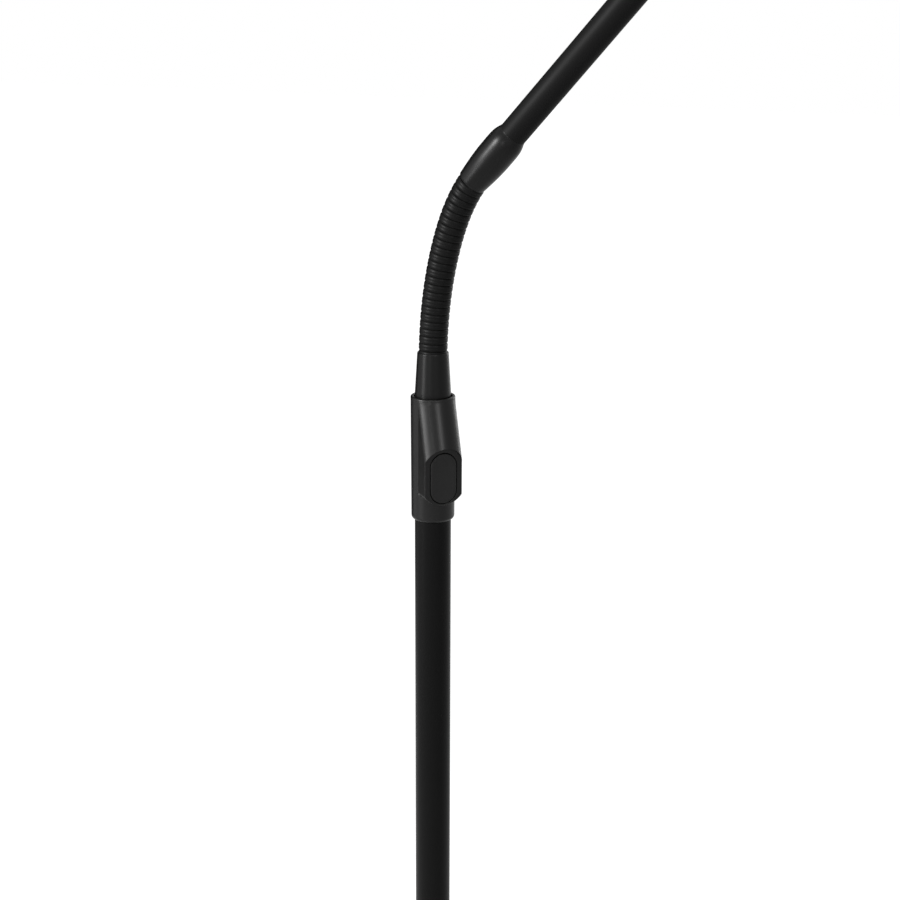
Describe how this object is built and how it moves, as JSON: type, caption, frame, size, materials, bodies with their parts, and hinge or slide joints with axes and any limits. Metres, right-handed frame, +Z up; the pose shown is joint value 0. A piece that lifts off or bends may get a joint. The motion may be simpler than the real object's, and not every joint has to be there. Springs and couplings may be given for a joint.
{
  "type": "gooseneck reading floor lamp",
  "caption": "Floor lamp with a disc base, a telescoping pole with a push-button height lock, a flexible ribbed neck and a tilting slim LED head.",
  "frame": {"origin": "middle of the base's underside, on the floor", "axes": "+Z up along the pole; +X is the way the neck and arm lean, so they lie in the XZ plane at rest"},
  "size_m": [0.6646, 0.25, 1.2968],
  "materials": {
    "black_steel": "satin black powder coat",
    "black_plastic": "fine-textured black moulding",
    "button_plastic": "matt black moulding",
    "ferrule_finish": "satin black",
    "neck_finish": "satin black coating over wound steel",
    "weight_iron": "raw plate",
    "bright_steel": "zinc plated",
    "pad_rubber": "fine-grained sheet",
    "guide_plastic": "natural acetal",
    "head_alloy": "black anodised",
    "board_white": "white solder mask on aluminium",
    "board_green": "green solder mask",
    "led_phosphor": "phosphor-filled lenses",
    "diffuser_plastic": "opal"
  },
  "bodies": {
    "stand": {"base_pad": "pad_rubber", "base_weight": "weight_iron", "base_cover": "black_steel", "power_inlet": "black_plastic", "pole_ring": "black_steel", "pole_tube": "black_steel", "pole_plug": "bright_steel", "base_washer": "bright_steel", "base_bolt": "bright_steel", "lock_housing": "black_plastic", "lock_screw": "bright_steel", "guide_bush": "guide_plastic", "lock_pin": "bright_steel", "lock_spring": "bright_steel"},
    "lock_lever": {"lock_button": "button_plastic", "brake_shoe": "pad_rubber"},
    "slider": {"foot_bush": "guide_plastic"},
    "mast": {"inner_tube": "black_steel", "lower_ferrule": "ferrule_finish", "neck_root": "neck_finish"},
    "neck_link_1": {"neck_link_1": "neck_finish"},
    "neck_link_2": {"neck_link_2": "neck_finish"},
    "neck_link_3": {"neck_link_3": "neck_finish"},
    "neck_link_4": {"neck_link_4": "neck_finish"},
    "neck_link_5": {"neck_link_5": "neck_finish"},
    "neck_link_6": {"neck_link_6": "neck_finish"},
    "neck_link_7": {"neck_link_7": "neck_finish"},
    "arm": {"upper_ferrule": "ferrule_finish", "upper_tube": "black_steel", "knuckle_fork": "black_steel", "friction_washers": "guide_plastic", "knuckle_bolt": "bright_steel", "knuckle_nut": "bright_steel"},
    "head": {"head_shell": "head_alloy", "head_tongue": "bright_steel", "tongue_screws": "bright_steel", "head_bezel": "black_plastic", "bezel_screws": "bright_steel", "diffuser": "diffuser_plastic", "led_board": "board_white", "led_chips": "led_phosphor", "driver_board": "board_green"},
    "key": {"power_key": "button_plastic"}
  },
  "joints": [
    {"name": "height_slide", "type": "slide", "parent": "stand", "child": "slider", "axis": [0, 0, 1], "range_m": [0, 0.28]},
    {"name": "mast_swivel", "type": "hinge", "parent": "slider", "child": "mast", "pos_m": [0, 0, 0.8732], "axis": [0, 0, 1], "range_deg": [-175, 175]},
    {"name": "neck_bend_1", "type": "hinge", "parent": "mast", "child": "neck_link_1", "pos_m": [0, 0, 0.9206], "axis": [0, 1, 0], "range_deg": [-15.2, 4.7]},
    {"name": "neck_bend_2", "type": "hinge", "parent": "neck_link_1", "child": "neck_link_2", "pos_m": [0.00082, 0, 0.93738], "axis": [0, 1, 0], "range_deg": [-15.2, 4.7]},
    {"name": "neck_bend_3", "type": "hinge", "parent": "neck_link_2", "child": "neck_link_3", "pos_m": [0.00249, 0, 0.9541], "axis": [0, 1, 0], "range_deg": [-15.2, 4.7]},
    {"name": "neck_bend_4", "type": "hinge", "parent": "neck_link_3", "child": "neck_link_4", "pos_m": [0.00509, 0, 0.97069], "axis": [0, 1, 0], "range_deg": [-15.2, 4.7]},
    {"name": "neck_bend_5", "type": "hinge", "parent": "neck_link_4", "child": "neck_link_5", "pos_m": [0.0087, 0, 0.9871], "axis": [0, 1, 0], "range_deg": [-15.2, 4.7]},
    {"name": "neck_bend_6", "type": "hinge", "parent": "neck_link_5", "child": "neck_link_6", "pos_m": [0.01341, 0, 1.00323], "axis": [0, 1, 0], "range_deg": [-15.2, 4.7]},
    {"name": "neck_bend_7", "type": "hinge", "parent": "neck_link_6", "child": "neck_link_7", "pos_m": [0.01965, 0, 1.01883], "axis": [0, 1, 0], "range_deg": [-15.2, 4.7]},
    {"name": "neck_bend_8", "type": "hinge", "parent": "neck_link_7", "child": "arm", "pos_m": [0.0281, 0, 1.03335], "axis": [0, 1, 0], "range_deg": [-15.2, 4.7]},
    {"name": "head_tilt", "type": "hinge", "parent": "arm", "child": "head", "pos_m": [0.25962, 0, 1.28778], "axis": [0, 1, 0], "range_deg": [-60, 55]},
    {"name": "lock_press", "type": "hinge", "parent": "stand", "child": "lock_lever", "pos_m": [0.01118, -0.00938, 0.858], "axis": [0.6428, 0.766, 0], "range_deg": [0, 3.5], "stiffness_Nm_per_rad": 1.2, "springref_deg": -1.15},
    {"name": "key_press", "type": "slide", "parent": "head", "child": "key", "axis": [-0.1392, 0, -0.9903], "range_m": [0, 0.001], "stiffness_N_per_m": 1500, "springref_m": -0.0003}
  ],
  "couplings": [
    {"joint": "neck_bend_2", "follows": "neck_bend_1", "ratio": 1},
    {"joint": "neck_bend_3", "follows": "neck_bend_1", "ratio": 1},
    {"joint": "neck_bend_4", "follows": "neck_bend_1", "ratio": 1},
    {"joint": "neck_bend_5", "follows": "neck_bend_1", "ratio": 1},
    {"joint": "neck_bend_6", "follows": "neck_bend_1", "ratio": 1},
    {"joint": "neck_bend_7", "follows": "neck_bend_1", "ratio": 1},
    {"joint": "neck_bend_8", "follows": "neck_bend_1", "ratio": 1}
  ]
}
